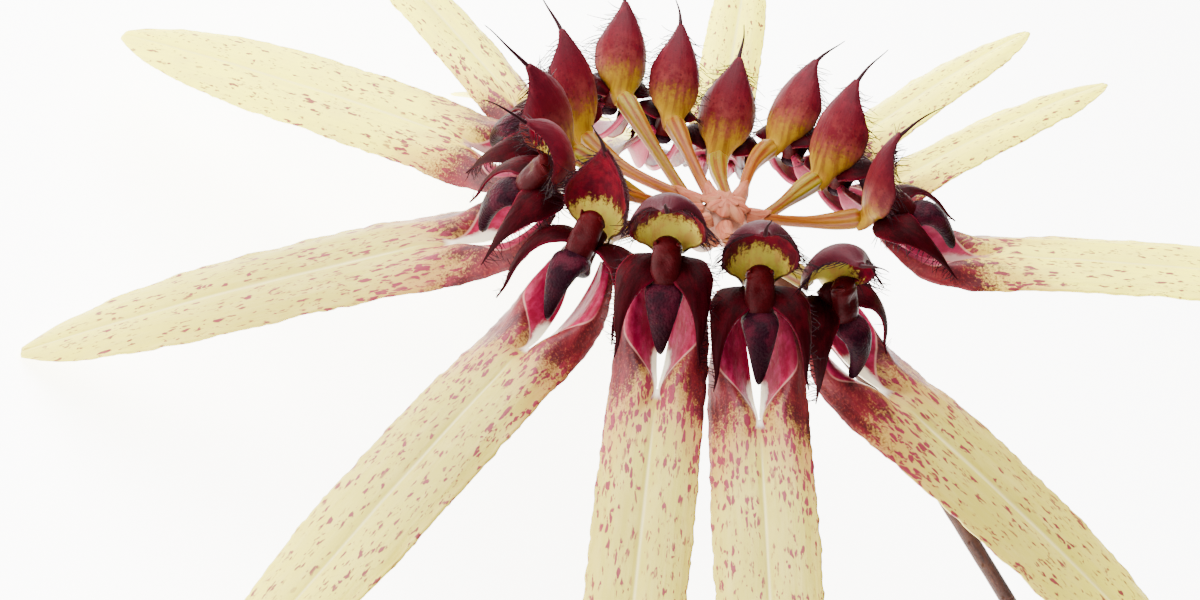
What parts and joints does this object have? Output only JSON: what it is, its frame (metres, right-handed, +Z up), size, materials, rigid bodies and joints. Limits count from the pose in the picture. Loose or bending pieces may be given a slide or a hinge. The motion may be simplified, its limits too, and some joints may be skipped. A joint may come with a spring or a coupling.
{
  "type": "orchid flower umbel",
  "caption": "Cut umbel of hooded orchid flowers with long speckled straps round one thin stalk, lying on a surface.",
  "frame": {"origin": "centre of the bounding box's underside, on the surface that the umbel lies on", "axes": "+Z up; -Y is the side that the umbel's face is turned to; +X to the right of it"},
  "size_m": [0.1328, 0.1158, 0.0665],
  "materials": {
    "stalk": "smooth, thin and dry",
    "bract": "thin, papery and matte",
    "pedicel": "fleshy, satin, with reddish stripes",
    "hood": "satin petal tissue, yellow-green inside its base",
    "flower_centre": "fleshy, satin, near black on the lip",
    "strap": "waxy petal tissue with red speckles"
  },
  "bodies": {
    "root": {"peduncle": "stalk", "floral_bracts": "bract", "flower_01_pedicel": "pedicel", "flower_01_dorsal_sepal": "hood", "flower_01_centre": "flower_centre", "flower_01_lateral_sepals": "strap", "flower_02_pedicel": "pedicel", "flower_02_dorsal_sepal": "hood", "flower_02_centre": "flower_centre", "flower_02_lateral_sepals": "strap", "flower_03_pedicel": "pedicel", "flower_03_dorsal_sepal": "hood", "flower_03_centre": "flower_centre", "flower_03_lateral_sepals": "strap", "flower_04_pedicel": "pedicel", "flower_04_dorsal_sepal": "hood", "flower_04_centre": "flower_centre", "flower_04_lateral_sepals": "strap", "flower_05_pedicel": "pedicel", "flower_05_dorsal_sepal": "hood", "flower_05_centre": "flower_centre", "flower_05_lateral_sepals": "strap", "flower_06_pedicel": "pedicel", "flower_06_dorsal_sepal": "hood", "flower_06_centre": "flower_centre", "flower_06_lateral_sepals": "strap", "flower_07_pedicel": "pedicel", "flower_07_dorsal_sepal": "hood", "flower_07_centre": "flower_centre", "flower_07_lateral_sepals": "strap", "flower_08_pedicel": "pedicel", "flower_08_dorsal_sepal": "hood", "flower_08_centre": "flower_centre", "flower_08_lateral_sepals": "strap", "flower_09_pedicel": "pedicel", "flower_09_dorsal_sepal": "hood", "flower_09_centre": "flower_centre", "flower_09_lateral_sepals": "strap", "flower_10_pedicel": "pedicel", "flower_10_dorsal_sepal": "hood", "flower_10_centre": "flower_centre", "flower_10_lateral_sepals": "strap", "flower_11_pedicel": "pedicel", "flower_11_dorsal_sepal": "hood", "flower_11_centre": "flower_centre", "flower_11_lateral_sepals": "strap", "flower_12_pedicel": "pedicel", "flower_12_dorsal_sepal": "hood", "flower_12_centre": "flower_centre", "flower_12_lateral_sepals": "strap", "flower_13_pedicel": "pedicel", "flower_13_dorsal_sepal": "hood", "flower_13_centre": "flower_centre", "flower_13_lateral_sepals": "strap"}
  },
  "joints": []
}
